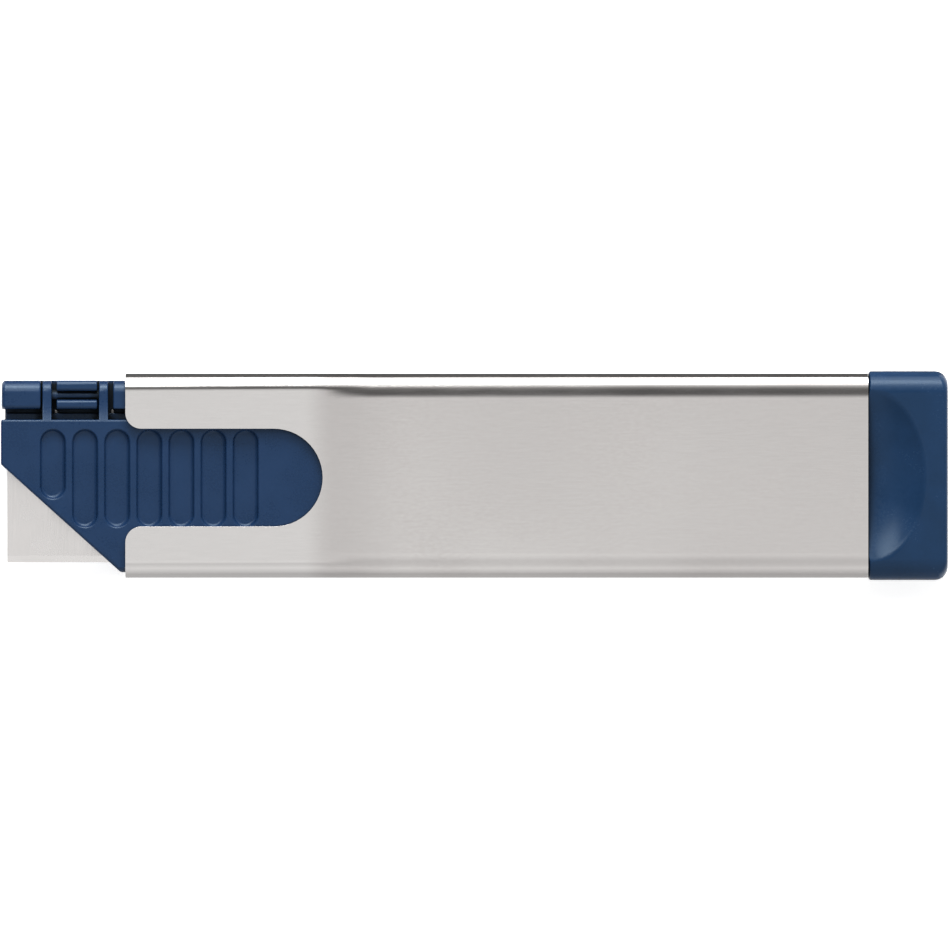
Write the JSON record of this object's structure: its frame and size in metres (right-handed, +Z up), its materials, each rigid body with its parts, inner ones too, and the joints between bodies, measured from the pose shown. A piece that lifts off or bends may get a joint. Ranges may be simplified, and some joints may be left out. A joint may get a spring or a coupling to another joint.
{
  "type": "utility knife",
  "caption": "Flat pocket utility knife: a blade clamped in a grooved, hinged holder that slides in a stamped steel sleeve with thumb slots, and a pull-out end cap.",
  "frame": {"origin": "centre of the knife's plan on the face that it lies on, with the blade pushed out", "axes": "+X from the blade's nose to the end cap, +Y from the cutting edge to the hinged spine, +Z up through the thickness"},
  "size_m": [0.12, 0.0264, 0.008],
  "materials": {
    "sleeve_steel": "satin",
    "holder_plastic": "satin",
    "cap_plastic": "glossy",
    "blade_steel": "ground",
    "spring_steel": "bright"
  },
  "bodies": {
    "sleeve": {"sleeve": "sleeve_steel"},
    "blade_holder": {"holder_back": "holder_plastic", "holder_front": "holder_plastic", "blade": "blade_steel", "spine_pins": "spring_steel", "friction_spring": "spring_steel", "button_spring": "spring_steel"},
    "button": {"release_button": "holder_plastic"},
    "cap_and_tray": {"end_cap": "cap_plastic", "blade_tray": "holder_plastic", "cap_pins": "spring_steel", "tray_spring": "spring_steel", "spare_blade_1": "blade_steel", "spare_blade_2": "blade_steel", "spare_blade_3": "blade_steel"}
  },
  "joints": [
    {"name": "blade_slide", "type": "slide", "parent": "sleeve", "child": "blade_holder", "axis": [1, 0, 0], "range_m": [0, 0.0156]},
    {"name": "button_press", "type": "slide", "parent": "blade_holder", "child": "button", "axis": [0, -1, 0], "range_m": [0, 0.0006], "stiffness_N_per_m": 400, "springref_m": -0.002, "deforming": ["button_spring"]},
    {"name": "cap_pull", "type": "slide", "parent": "sleeve", "child": "cap_and_tray", "axis": [1, 0, 0], "range_m": [0, 0.045]}
  ]
}
